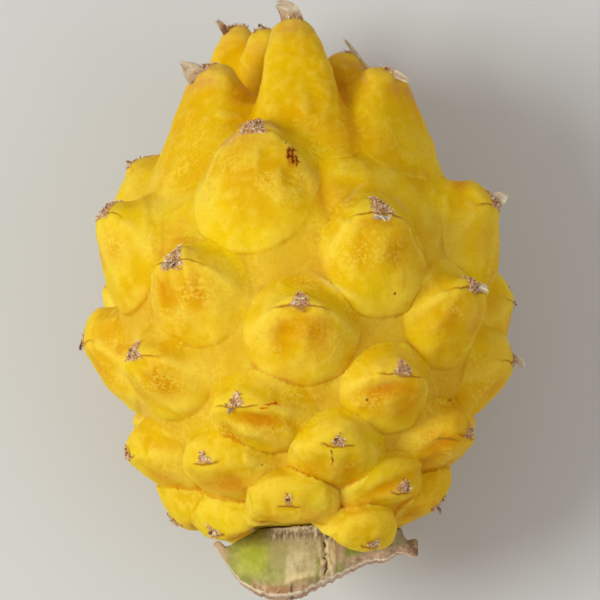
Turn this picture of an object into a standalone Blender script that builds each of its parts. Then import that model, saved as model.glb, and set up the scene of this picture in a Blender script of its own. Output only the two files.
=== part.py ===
"""A yellow dragon fruit (yellow pitahaya) as picked, with the slice of cactus stem it was cut off with.

The fruit lies on its side. Its long axis runs along +Y, from the stem end to the crown of bracts at the
blossom end, and it rests on the flattened tips of three tubercles. Lengths here are millimetres and angles
are degrees.
"""

import math
import random

import bmesh
import bpy
from mathutils import Vector
from mathutils.bvhtree import BVHTree

MM = 0.001

# The tubercles sit on a golden-angle spiral that winds down from the crown to the stem end.
DIVERGENCE = -137.5  # from one tubercle to the next, round the fruit
FIRST = -3
LAST = 46
FRONT = 20
FRONT_AZIMUTH = 0.5  # of the tubercle numbered FRONT, from straight up towards +X

# A tubercle's number on the spiral, and the height of its tip above the stem end.
CLIMB = [(-3, 95), (-1, 93), (2, 84), (4, 78), (7, 68.5), (10, 58.5), (15, 46), (20, 36), (25, 26.5),
         (31, 16.7), (36, 10), (41, 4.4), (46, -0.5)]

# Tubercles that stand a little off the spiral: azimuth, height, and how much further out the tip stands.
ASTRAY = {
    -3: (-77, 93.5, -3), -2: (145, 90, -4), -1: (-7, 95, 0), 0: (-130, 97, 5), 1: (88, 90, -5),
    2: (-49, 83.5, 0), 4: (47, 82, 0), 5: (-97, 69, 0), 7: (-15.5, 69.5, 0), 9: (69, 61, 0),
    10: (-67, 58, 0), 11: (160, 55.5, 0.5), 12: (21.5, 54.3, 0), 14: (100, 45.5, 0), 15: (-34, 46.6, 0),
    16: (-167, 44, -0.7), 17: (51.5, 43, 0), 18: (-93, 37, 0), 20: (0, 37.5, 0), 22: (88, 33, 0),
    23: (-51, 30.7, 0), 24: (169, 28.5, 0.9), 25: (29, 26.4, 0), 26: (-128, 26, 0), 27: (122, 25, 0),
    28: (-19, 20.7, 0), 30: (65, 18, 0), 31: (-79, 15.3, 0), 33: (12.5, 14, 0), 34: (-128, 13, 0),
    35: (120, 12, 0), 36: (-35.5, 11.9, 0), 38: (45, 7.6, 0), 39: (-88, 4, 0), 41: (-6, 4.5, 0),
    43: (77, 6, 0), 44: (-55, 0.4, 0), 46: (34, -2, 4),
}

# By the height of a tubercle's tip: how far the tip stands from the fruit's axis, how far it leans up from
# square to the axis, where its root starts and ends on the body, half the root's width, and half the width
# and thickness of the tip.
FORMS = [
    (-3, 15, -50, -4, 7, 7.6, 6.2, 4.4),
    (2, 20, -44, -1, 9, 8.0, 6.2, 4.4),
    (8, 25.5, -30, 3, 14, 8.4, 5.8, 4.0),
    (14, 30.1, -8, 8, 20, 8.6, 5.4, 3.7),
    (20, 33.7, 6, 13, 25.5, 9.0, 5.2, 3.5),
    (26, 36.0, 14, 17, 31, 9.3, 5.2, 3.3),
    (31, 37.4, 20, 20, 36, 9.8, 5.2, 3.0),
    (37, 38.5, 28, 24, 41.5, 10.4, 5.0, 2.6),
    (46, 38.5, 40, 31, 49.5, 10.4, 5.0, 2.6),
    (54, 38.0, 48, 36, 57, 10.3, 5.0, 2.6),
    (61, 36.4, 54, 42, 64, 10.4, 5.0, 2.7),
    (70, 30.4, 62, 47, 73, 10.9, 4.8, 3.0),
    (78, 25.0, 68, 51, 79, 10.0, 4.7, 3.4),
    (84, 20.8, 76, 54, 83, 9.4, 4.8, 3.8),
    (90, 15.5, 84, 58, 84.5, 9.0, 5.2, 4.0),
    (98, 11, 92, 60, 85, 8.8, 5.8, 4.2),
]

# The body under the tubercles, from the seat on the stem to the navel in the crown: height and radius.
BODY = [(2.7, 0.6), (2.7, 5), (2.8, 9), (4.6, 13.4), (9, 18.2), (15, 22.6), (24, 27), (36, 30.3), (49, 30.8),
        (62, 28.6), (74, 22.8), (81, 17.6), (85, 13), (85.5, 10), (83.5, 7), (81.5, 4), (81, 0.6)]

LOWEST_ROOT = 3.4  # height that no tubercle's root goes below, so that the seat stays free
REST_HEIGHT = 35.4  # of the fruit's axis above the surface that it lies on

# The dried scales that stand out: length, width, how far they bend away from the tubercle's own line, and
# towards which side of it, where 0 is up and 90 is to the right.
SCALES = {
    -3: (1.8, 1.8, 50, -150), -1: (5.2, 3.4, 74, -100), 0: (3.4, 2.4, 56, 190), 1: (4.4, 1.7, 46, -40),
    2: (3.4, 3.4, 84, 200), 4: (3.4, 3.0, 76, 140), 5: (1.5, 2.4, 50, 180), 9: (2.2, 2.8, 24, 90),
    12: (2.4, 3.4, 100, 186), 14: (1.4, 2.2, 70, 180), 18: (1.3, 2.4, 84, 180), 22: (1.5, 2.8, 70, 180),
    43: (1.5, 2.0, 40, 180), 46: (2.0, 3.2, 80, 20),
}
SCALE_THICKNESS = 0.7
SEED = 7

# The slice of stem, along X: its end towards the fruit, its cut end, and half its thickness.
STEM = [
    (-15.6, -2.6, -3.2, 1.2), (-14.2, -2.0, -4.2, 2.4), (-11.5, -0.6, -6.8, 3.6), (-9.8, 1.2, -8.6, 4.2),
    (-6.5, 4.0, -9.6, 5.0), (-2.5, 5.5, -10.0, 5.8), (1.2, 5.5, -9.4, 6.2), (4.8, 5.2, -7.2, 5.8),
    (8.8, 4.4, -5.2, 4.8), (12, 3.0, -3.9, 3.9), (15.5, 2.3, -3.5, 3.4), (18, 1.8, -3.1, 2.8),
    (19.8, -0.4, -3.0, 2.0), (20.8, -1.6, -2.6, 1.0),
]
CLEARANCE = 0.35  # between the fruit and the slice of stem


def blend(stations, at):
    """The values of a list of stations at one point, on smooth curves through them."""
    if at <= stations[0][0]:
        return stations[0][1:]
    if at >= stations[-1][0]:
        return stations[-1][1:]
    i = max(n for n in range(len(stations) - 1) if stations[n][0] <= at)
    before, low, high, after = (stations[min(max(i + n, 0), len(stations) - 1)] for n in (-1, 0, 1, 2))
    span = high[0] - low[0]
    t = (at - low[0]) / span

    def value(n):
        slope_low = (high[n] - before[n]) / (high[0] - before[0]) * span
        slope_high = (after[n] - low[n]) / (after[0] - low[0]) * span
        return (
            (2 * t**3 - 3 * t**2 + 1) * low[n]
            + (t**3 - 2 * t**2 + t) * slope_low
            + (3 * t**2 - 2 * t**3) * high[n]
            + (t**3 - t**2) * slope_high
        )

    return tuple(value(n) for n in range(1, len(low)))


def body_radius(height):
    """The radius of the body's flank at a height."""
    flank = BODY[2:13]
    return blend(flank, min(max(height, flank[0][0]), flank[-1][0]))[0]


def tubercle(number):
    """The place and form of one tubercle."""
    azimuth = FRONT_AZIMUTH + (number - FRONT) * DIVERGENCE
    (height,) = blend(CLIMB, number)
    further = 0
    if number in ASTRAY:
        azimuth, height, further = ASTRAY[number]
    reach, lean, low, high, half_width, tip_width, tip_depth = blend(FORMS, height)
    return {
        "around": math.radians(azimuth),
        "tip": (reach + further, height),
        "lean": math.radians(lean),
        "span": (low, high),
        "half_width": half_width,
        "tip_size": (tip_width, tip_depth),
    }


def axial(around, radius, height):
    return Vector((radius * math.sin(around), height, radius * math.cos(around)))


def tip_axes(form):
    """A tubercle's own line, its upward and rightward sides, and its tip."""
    outward = axial(form["around"], 1, 0)
    lean = form["lean"]
    heading = outward * math.cos(lean) + Vector((0, math.sin(lean), 0))
    up = outward * -math.sin(lean) + Vector((0, math.cos(lean), 0))
    side = axial(form["around"] + math.pi / 2, 1, 0)
    return heading, up, side, axial(form["around"], *form["tip"])


def loft_tubercle(bm, form, around=28, along=9, sunk=5, rim=1.2):
    """A closed solid from an oval root on the body to a small domed tip, sunk into the body."""
    low, high = form["span"]
    middle, half_height = (low + high) / 2, (high - low) / 2
    wide, deep = form["tip_size"]
    heading, up, side, peak = tip_axes(form)
    swell = 1.6 + 0.9 * min(1, max(0, (14 - form["tip"][1]) / 12))
    shoulder = peak - heading * deep
    angles = [2 * math.pi * k / around for k in range(around)]

    def root(angle, inset, lift):
        height = max(middle + half_height * inset * math.sin(angle), LOWEST_ROOT)
        across = form["half_width"] * inset * math.cos(angle)
        radius = body_radius(height)
        return axial(form["around"] + across / max(radius, 12), radius + lift, height)

    def tip(angle):
        return shoulder + side * (wide * math.cos(angle)) + up * (deep * math.sin(angle))

    rings = [[root(angle, 0.9, -sunk) for angle in angles], [root(angle, 1, -1) for angle in angles]]
    for i in range(along + 1):
        s = i / along
        ring = []
        for angle in angles:
            start = root(angle, 0.97, rim)
            rise = tip(angle) - start
            risen = heading * rise.dot(heading)
            ring.append(start + (rise - risen) * s + risen * (1 - (1 - s) ** swell))
        rings.append(ring)
    for i in range(1, 5):
        turn = math.pi / 2 * i / 4.3
        ring = []
        for angle in angles:
            narrowed = shoulder + (tip(angle) - shoulder) * math.cos(turn)
            ring.append(narrowed + heading * (deep * math.sin(turn)))
        rings.append(ring)
    skin_rings(bm, [[bm.verts.new(point * MM) for point in ring] for ring in rings])


def skin_rings(bm, rings):
    """Faces between rings of equal counts, with a face over each end."""
    count = len(rings[0])
    for low, high in zip(rings, rings[1:]):
        for k in range(count):
            n = (k + 1) % count
            bm.faces.new((low[k], low[n], high[n], high[k]))
    bm.faces.new(rings[0][::-1])
    bm.faces.new(rings[-1])


def turn_body(bm, steps=64, around=72):
    """The body, turned about the fruit's axis."""
    stations = [(n / (len(BODY) - 1), height, radius) for n, (height, radius) in enumerate(BODY)]
    rings = []
    for i in range(steps + 1):
        height, radius = blend(stations, i / steps)
        angles = (2 * math.pi * k / around for k in range(around))
        rings.append([
            bm.verts.new(Vector((radius * math.sin(a), height, radius * math.cos(a))) * MM) for a in angles
        ])
    skin_rings(bm, rings)


def add_object(name, bm):
    bmesh.ops.recalc_face_normals(bm, faces=bm.faces)
    mesh = bpy.data.meshes.new(name)
    bm.to_mesh(mesh)
    bm.free()
    made = bpy.data.objects.new(name, mesh)
    bpy.context.collection.objects.link(made)
    return made


def apply_modifiers(made):
    graph = bpy.context.evaluated_depsgraph_get()
    mesh = bpy.data.meshes.new_from_object(made.evaluated_get(graph))
    made.modifiers.clear()
    made.data = mesh


def add_blade(name, collection, base, heading, bend, length, width):
    """A thin tapered blade that leaves its base along one heading and bends into another."""
    across = heading.cross(bend).normalized()
    rings = []
    for i in range(5):
        s = i / 4
        along = heading.lerp(bend, s).normalized()
        flat = across.cross(along).normalized() * (SCALE_THICKNESS / 2)
        centre = base + heading * (length * s * (1 - s / 2)) + bend * (length * s * s / 2)
        half = across * (width / 2 * (1, 1.1, 0.95, 0.65, 0.3)[i])
        rings.append([centre + corner for corner in (half + flat, flat - half, -half - flat, half - flat)])
    bm = bmesh.new()
    skin_rings(bm, [[bm.verts.new(point * MM) for point in ring] for ring in rings])
    blade = add_object(name, bm)
    bpy.context.collection.objects.unlink(blade)
    collection.objects.link(blade)


def add_scales(fruit):
    """The dried scale at the tip of each tubercle, joined to the fruit."""
    chance = random.Random(SEED)
    scales = bpy.data.collections.new("Scales")
    bpy.context.scene.collection.children.link(scales)
    for number in range(FIRST, LAST + 1):
        form = tubercle(number)
        length, width = chance.uniform(1.0, 1.5), chance.uniform(2.0, 3.0)
        bend, side = chance.uniform(35, 80), chance.uniform(-70, 70)
        length, width, bend, side = SCALES.get(number, (length, width, bend, side))
        bend, side = math.radians(bend), math.radians(side)
        heading, up, right, peak = tip_axes(form)
        away = up * math.cos(side) + right * math.sin(side)
        bent = heading * math.cos(bend) + away * math.sin(bend)
        if peak.z > -REST_HEIGHT + 4:
            add_blade(f"scale {number}", scales, peak - heading * 1.3, heading, bent, length + 1.3, width)
    join = fruit.modifiers.new("Join scales", "BOOLEAN")
    join.operation = "UNION"
    join.operand_type = "COLLECTION"
    join.collection = scales
    join.solver = "EXACT"
    apply_modifiers(fruit)
    for blade in list(scales.objects):
        bpy.data.objects.remove(blade)
    bpy.data.collections.remove(scales)


def make_fruit():
    bm = bmesh.new()
    turn_body(bm)
    for number in range(FIRST, LAST + 1):
        loft_tubercle(bm, tubercle(number))
    fruit = add_object("fruit", bm)
    fuse = fruit.modifiers.new("Fuse", "REMESH")
    fuse.mode = "VOXEL"
    fuse.voxel_size = 0.9 * MM
    soften = fruit.modifiers.new("Soften", "SMOOTH")
    soften.iterations = 6
    soften.factor = 0.5
    reduce = fruit.modifiers.new("Reduce", "DECIMATE")
    reduce.ratio = 0.1
    apply_modifiers(fruit)
    for v in fruit.data.vertices:
        v.co.z = max(v.co.z, -REST_HEIGHT * MM)
    add_scales(fruit)
    return fruit


def make_stem(fruit):
    """The slice of stem: a wedge that is thin towards the fruit and flat where it was cut."""
    steps, around = 34, 28
    rings = []
    for i in range(steps + 1):
        x = STEM[0][0] + (STEM[-1][0] - STEM[0][0]) * (1 - math.cos(math.pi * i / steps)) / 2
        top, cut, half = blend(STEM, x)
        cork = 0.7 * math.exp(-(((x - 1.4) / 4.5) ** 4))
        ring = []
        for k in range(around):
            angle = 2 * math.pi * k / around
            rise = math.copysign(abs(math.sin(angle)) ** 0.7, math.sin(angle))
            out = math.copysign(abs(math.cos(angle)) ** 0.6, math.cos(angle))
            height = (top + cut) / 2 + rise * (top - cut) / 2
            depth = out * (half * (1 - 0.26 * rise) + (cork if out > 0 else 0))
            ring.append(Vector((x, height, depth - 0.5)))
        rings.append(ring)
    bm = bmesh.new()
    skin_rings(bm, [[bm.verts.new(point * MM) for point in ring] for ring in rings])
    bmesh.ops.triangulate(bm, faces=bm.faces)
    press_clear(bm, fruit)
    return add_object("stem_stub", bm)


def press_clear(bm, fruit):
    """Moves the vertices that touch the fruit, or lie in it, until a small gap is left."""
    tree = BVHTree.FromObject(fruit, bpy.context.evaluated_depsgraph_get())
    gap = CLEARANCE * MM
    for _ in range(12):
        for v in bm.verts:
            near, normal, _, distance = tree.find_nearest(v.co)
            inside = (v.co - near).dot(normal) < 0
            if inside or distance < gap:
                v.co = near + normal * gap


def finish(made, colour, roughness):
    """The object's own material, and shading that keeps its edges."""
    material = bpy.data.materials.new(made.name)
    material.use_nodes = True
    shader = material.node_tree.nodes["Principled BSDF"]
    shader.inputs["Base Color"].default_value = (*colour, 1)
    shader.inputs["Roughness"].default_value = roughness
    made.data.materials.clear()
    made.data.materials.append(material)
    made.data.shade_smooth()
    made.data.set_sharp_from_angle(angle=math.radians(40))


def settle(objects):
    """Moves the meshes so that the middle of the whole part's underside is at the origin."""
    points = [v.co for made in objects for v in made.data.vertices]
    low = Vector(min(point[axis] for point in points) for axis in range(3))
    high = Vector(max(point[axis] for point in points) for axis in range(3))
    shift = Vector((-(low.x + high.x) / 2, -(low.y + high.y) / 2, -low.z))
    for made in objects:
        for v in made.data.vertices:
            v.co += shift


def main():
    for old in list(bpy.data.objects):
        bpy.data.objects.remove(old)
    fruit = make_fruit()
    stem = make_stem(fruit)
    finish(fruit, (0.83, 0.55, 0.04), 0.45)
    finish(stem, (0.36, 0.38, 0.12), 0.7)
    settle((fruit, stem))


main()
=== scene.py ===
import math
import random

import bpy
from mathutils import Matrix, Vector, noise
from mathutils.bvhtree import BVHTree


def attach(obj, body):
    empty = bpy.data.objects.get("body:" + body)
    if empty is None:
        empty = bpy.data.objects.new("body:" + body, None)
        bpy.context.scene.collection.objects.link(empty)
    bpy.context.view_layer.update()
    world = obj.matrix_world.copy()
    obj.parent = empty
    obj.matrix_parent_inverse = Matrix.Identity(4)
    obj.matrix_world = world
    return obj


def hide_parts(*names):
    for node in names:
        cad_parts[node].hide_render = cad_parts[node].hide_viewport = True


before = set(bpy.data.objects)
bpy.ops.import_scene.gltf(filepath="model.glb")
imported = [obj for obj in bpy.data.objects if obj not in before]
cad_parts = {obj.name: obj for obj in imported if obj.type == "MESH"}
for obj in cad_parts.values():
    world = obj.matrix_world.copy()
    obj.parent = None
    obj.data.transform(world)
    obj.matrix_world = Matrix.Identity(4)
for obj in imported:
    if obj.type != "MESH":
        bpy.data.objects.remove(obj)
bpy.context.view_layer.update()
mm = 0.001
seat = Vector((0.07, -44.84, 35.4))  # where the stem end of the fruit's axis stands in the CAD, in mm


# A socket of a node tree. Sums on it add Math nodes, or Vector Math nodes where a vector takes part.
class Wire:
    def __init__(self, bench, socket):
        self.bench = bench
        self.socket = socket

    def __add__(self, other):
        return self.bench.maths("ADD", self, other)

    def __radd__(self, other):
        return self.bench.maths("ADD", other, self)

    def __sub__(self, other):
        return self.bench.maths("SUBTRACT", self, other)

    def __rsub__(self, other):
        return self.bench.maths("SUBTRACT", other, self)

    def __mul__(self, other):
        return self.bench.maths("MULTIPLY", self, other)

    def __rmul__(self, other):
        return self.bench.maths("MULTIPLY", other, self)

    def __truediv__(self, other):
        return self.bench.maths("DIVIDE", self, other)

    def __pow__(self, other):
        return self.bench.maths("POWER", self, other)

    def __neg__(self):
        return self.bench.maths("MULTIPLY", self, -1.0)

    def dot(self, other):
        return self.bench.maths("DOT_PRODUCT", self, other)

    # never below the other value, and never above it
    def least(self, other):
        return self.bench.maths("MAXIMUM", self, other)

    def most(self, other):
        return self.bench.maths("MINIMUM", self, other)

    # 0 below the first value, 1 above the second, and a smooth step between
    def step(self, low, high):
        return self.bench.add("ShaderNodeMapRange", {"interpolation_type": "SMOOTHSTEP"},
                              {"Value": self, "From Min": low, "From Max": high})

    # 1 at nought, fading on both sides over about this width
    def bell(self, width):
        return self.bench.maths("EXPONENT", -(self * self) / (width * width))

    def parts(self):
        split = self.bench.add("ShaderNodeSeparateXYZ", {}, {0: self})
        return [Wire(self.bench, out) for out in split.socket.node.outputs]


# A node tree that is being wired.
class Bench:
    def __init__(self, tree):
        self.tree = tree

    # one node: its settings first, then the values or links of its sockets
    def add(self, kind, settings=None, sockets=None, out=0):
        node = self.tree.nodes.new(kind)
        for name, value in (settings or {}).items():
            if name == "stops":
                ramp = node.color_ramp.elements
                while len(ramp) < len(value):
                    ramp.new(0.5)
                for stop, (place, colour) in zip(ramp, value):
                    stop.position, stop.color = place, (*colour, 1)
            elif name == "points":
                curve = node.mapping.curves[0].points
                while len(curve) < len(value):
                    curve.new(0.5, 0.5)
                for point, place in zip(curve, value):
                    point.location = place
                node.mapping.update()
            else:
                setattr(node, name, value)
        for name, value in (sockets or {}).items():
            into = node.inputs[name] if isinstance(name, int) else next(
                s for s in node.inputs if s.enabled and s.name == name)
            for one in value if isinstance(value, list) else [value]:
                if isinstance(one, Wire):
                    self.tree.links.new(one.socket, into)
                else:
                    into.default_value = one
        outputs = [s for s in node.outputs if s.enabled]
        return Wire(self, outputs[out] if outputs else None)

    def maths(self, operation, *parts):
        isVector = any(isinstance(part, Wire) and part.socket.type == "VECTOR" for part in parts)
        if isVector:
            parts = [(part, part, part) if isinstance(part, (int, float)) else part for part in parts]
        kind = "ShaderNodeVectorMath" if isVector else "ShaderNodeMath"
        return self.add(kind, {"operation": operation}, dict(enumerate(parts)))

    def vector(self, x, y, z):
        return self.add("ShaderNodeCombineXYZ", {}, {0: x, 1: y, 2: z})

    # a blend of two values, or of two shades, which may be plain linear colours
    def mix(self, factor, a, b, kind="RGBA"):
        a, b = ((*side, 1) if isinstance(side, tuple) and kind == "RGBA" else side for side in (a, b))
        return self.add("ShaderNodeMix", {"data_type": kind}, {"Factor": factor, "A": a, "B": b})

    def noise(self, place, scale, detail=2.0, roughness=0.5, bent=0.0):
        return self.add("ShaderNodeTexNoise", {}, {"Vector": place, "Scale": scale, "Detail": detail,
                                                   "Roughness": roughness, "Distortion": bent})

    # for materials: the place on the object, and an attribute of its mesh, a vector where out is 1
    def objectPlace(self):
        return self.add("ShaderNodeTexCoord", {}, {}, 3)

    def read(self, name, out=2):
        return self.add("ShaderNodeAttribute", {"attribute_name": name}, {}, out)

    # for geometry trees
    def position(self):
        return self.add("GeometryNodeInputPosition")

    def move(self, geometry, place):
        return self.add("GeometryNodeSetPosition", {}, {"Geometry": geometry, "Position": place})

    def realize(self, geometry):
        return self.add("GeometryNodeRealizeInstances", {}, {"Geometry": geometry})

    def blur(self, value, reach):
        return self.add("GeometryNodeBlurAttribute", {"data_type": "FLOAT_VECTOR"},
                        {"Value": value, "Iterations": reach})

    def chance(self, low, high, seed, kind="FLOAT"):
        return self.add("FunctionNodeRandomValue", {"data_type": kind},
                        {"Min": low, "Max": high, "Seed": seed})

    def meshOf(self, made):
        return self.add("GeometryNodeObjectInfo", {"transform_space": "ORIGINAL"}, {"Object": made}, 4)

    def field(self, name, kind="FLOAT"):
        return self.add("GeometryNodeInputNamedAttribute", {"data_type": kind}, {"Name": name})

    def store(self, geometry, name, value, kind="FLOAT"):
        return self.add("GeometryNodeStoreNamedAttribute", {"data_type": kind, "domain": "POINT"},
                        {"Geometry": geometry, "Name": name, "Value": value})


# A geometry tree with a geometry in and out, and named inputs of its own.
def newTree(name, inputs):
    tree = bpy.data.node_groups.new(name, "GeometryNodeTree")
    tree.interface.new_socket("Geometry", in_out="INPUT", socket_type="NodeSocketGeometry")
    tree.interface.new_socket("Geometry", in_out="OUTPUT", socket_type="NodeSocketGeometry")
    for label, kind in inputs.items():
        tree.interface.new_socket(label, in_out="INPUT", socket_type="NodeSocket" + kind)
    bench = Bench(tree)
    start = tree.nodes.new("NodeGroupInput")
    return bench, {s.name: Wire(bench, s) for s in start.outputs if s.name}


def closeTree(bench, geometry, material):
    dressed = bench.add("GeometryNodeSetMaterial", {}, {
        "Geometry": bench.realize(geometry), "Material": material})
    bench.add("NodeGroupOutput", {}, {0: dressed})


def newObject(name, mesh):
    made = bpy.data.objects.new(name, mesh)
    bpy.context.scene.collection.objects.link(made)
    return made


def addTree(made, bench, values):
    modifier = made.modifiers.new(bench.tree.name, "NODES")
    modifier.node_group = bench.tree
    for item in bench.tree.interface.items_tree:
        if item.in_out == "INPUT" and item.name in values:
            modifier[item.identifier] = values[item.name]
    return modifier


def storeColumn(mesh, name, values):
    mesh.attributes.new(name, "FLOAT", "POINT").data.foreach_set("value", values)


# The mesh that an object's modifiers make, kept as a plain mesh on the same object.
def bakeObject(made):
    graph = bpy.context.evaluated_depsgraph_get()
    mesh = bpy.data.meshes.new_from_object(made.evaluated_get(graph))
    made.modifiers.clear()
    made.data = mesh
    mesh.name = made.name
    return made


def newMaterial(name):
    material = bpy.data.materials.new(name)
    material.use_nodes = True
    material.node_tree.nodes.clear()
    return material, Bench(material.node_tree)


def closeMaterial(bench, sockets):
    shader = bench.add("ShaderNodeBsdfPrincipled", {}, sockets)
    bench.add("ShaderNodeOutputMaterial", {}, {"Surface": shader})


# sRGB values from 0 to 255, as a linear colour
def tint(red, green, blue):
    return tuple((c / 12.92 if c <= 0.04045 else ((c + 0.055) / 1.055) ** 2.4)
                 for c in (red / 255, green / 255, blue / 255))


# 0 at the first value, 1 at the second, and straight between
def ramp(low, high, value):
    return min(1, max(0, (value - low) / (high - low)))


# the same, eased at both ends
def ease(low, high, value):
    t = ramp(low, high, value)
    return t * t * (3 - 2 * t)


# 1 at nought, fading on both sides over about this width
def bump(value, width):
    return math.exp(-((value / width) ** 2))


# The values of a list of stations at one point, on smooth curves through them.
def blendStations(stations, at):
    if at <= stations[0][0]:
        return stations[0][1:]
    if at >= stations[-1][0]:
        return stations[-1][1:]
    i = max(n for n in range(len(stations) - 1) if stations[n][0] <= at)
    before, low, high, after = (stations[min(max(i + n, 0), len(stations) - 1)] for n in (-1, 0, 1, 2))
    span = high[0] - low[0]
    t = (at - low[0]) / span
    values = []
    for n in range(1, len(low)):
        slopeLow = (high[n] - before[n]) / (high[0] - before[0]) * span
        slopeHigh = (after[n] - low[n]) / (after[0] - low[0]) * span
        values.append((2 * t**3 - 3 * t**2 + 1) * low[n] + (t**3 - 2 * t**2 + t) * slopeLow
                      + (3 * t**2 - 2 * t**3) * high[n] + (t**3 - t**2) * slopeHigh)
    return tuple(values)


print("camera, floor and lights")
studio = {
    "aim": (0, -0.0007, 0.0354), "elevation": 80, "distance": 0.9, "lens": 300,
    "floor": tint(204, 206, 212), "world": 0.49, "worldShade": (1, 0.92, 0.82, 1),
    # place, size, power and colour
    "keyLight": ((-0.72, -0.1, 0.82), 0.5, 8.0, (0.97, 1, 0.9)),
    "fillLight": ((0.6, -0.3, 0.8), 0.7, 1.2, (1, 1, 1)),
}


def addCamera():
    data = bpy.data.cameras.new("camera")
    data.lens, data.sensor_width, data.clip_end = studio["lens"], 36, 10
    camera = newObject("camera", data)
    tilt = math.radians(studio["elevation"])
    away = Vector((0, -math.cos(tilt), math.sin(tilt)))
    camera.location = Vector(studio["aim"]) + away * studio["distance"]
    camera.rotation_euler = (math.pi / 2 - tilt, 0, 0)
    bpy.context.scene.camera = camera


def addLight(name, place, size, power, shade):
    data = bpy.data.lights.new(name, "AREA")
    data.shape, data.size, data.energy, data.color = "DISK", size, power, shade
    light = newObject(name, data)
    light.location = place
    light.rotation_euler = (Vector(studio["aim"]) - Vector(place)).to_track_quat("-Z", "Y").to_euler()


def addStudio():
    addCamera()
    for name in ("keyLight", "fillLight"):
        addLight(name, *studio[name])
    world = bpy.data.worlds.new("studio")
    world.use_nodes = True
    shade, strength = world.node_tree.nodes["Background"].inputs[:2]
    shade.default_value, strength.default_value = studio["worldShade"], studio["world"]
    bpy.context.scene.world = world
    bpy.context.scene.view_settings.view_transform = "Standard"
    mesh = bpy.data.meshes.new("floor")
    mesh.from_pydata([(-3, -3, 0), (3, -3, 0), (3, 3, 0), (-3, 3, 0)], [], [(0, 1, 2, 3)])
    floor = newObject("floor", mesh)
    material, bench = newMaterial("paleFloor")
    closeMaterial(bench, {"Base Color": (*studio["floor"], 1), "Roughness": 0.8})
    mesh.materials.append(material)


addStudio()

print("the fruit's form")
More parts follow.
